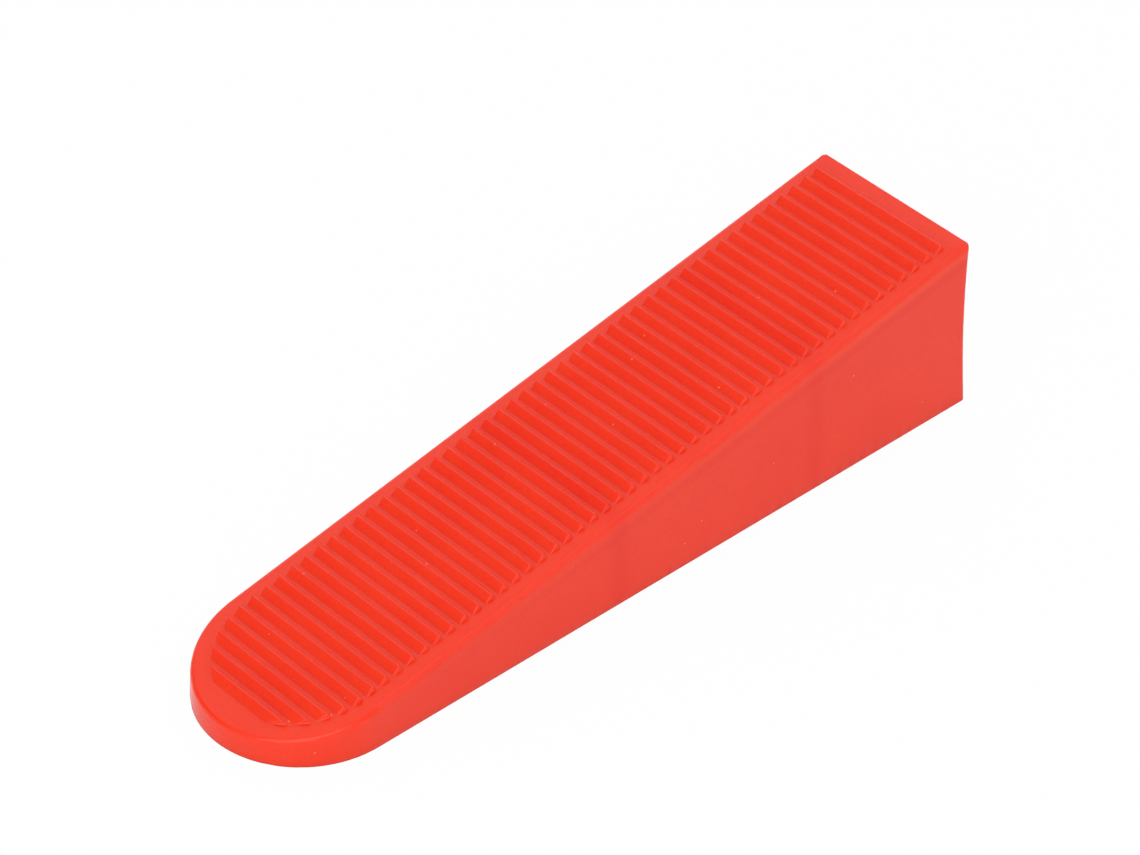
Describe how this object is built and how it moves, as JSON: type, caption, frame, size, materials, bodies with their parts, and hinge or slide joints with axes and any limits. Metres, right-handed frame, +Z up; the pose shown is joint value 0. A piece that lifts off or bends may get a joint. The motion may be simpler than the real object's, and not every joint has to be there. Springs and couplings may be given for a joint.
{
  "type": "tile levelling wedge",
  "caption": "Hollow plastic wedge with a round toe and a ratchet-toothed ramp, pushed through a tile levelling clip to draw neighbouring tiles level.",
  "frame": {"origin": "middle of the base rectangle, on the plane that the wedge rests on", "axes": "+X along the wedge from toe to heel, +Y across it, +Z up from the base"},
  "size_m": [0.09, 0.022, 0.0198],
  "materials": {
    "red_plastic": "glossy red moulding, slightly translucent, with fine grain on the teeth"
  },
  "bodies": {
    "root": {"wedge": "red_plastic"}
  },
  "joints": []
}
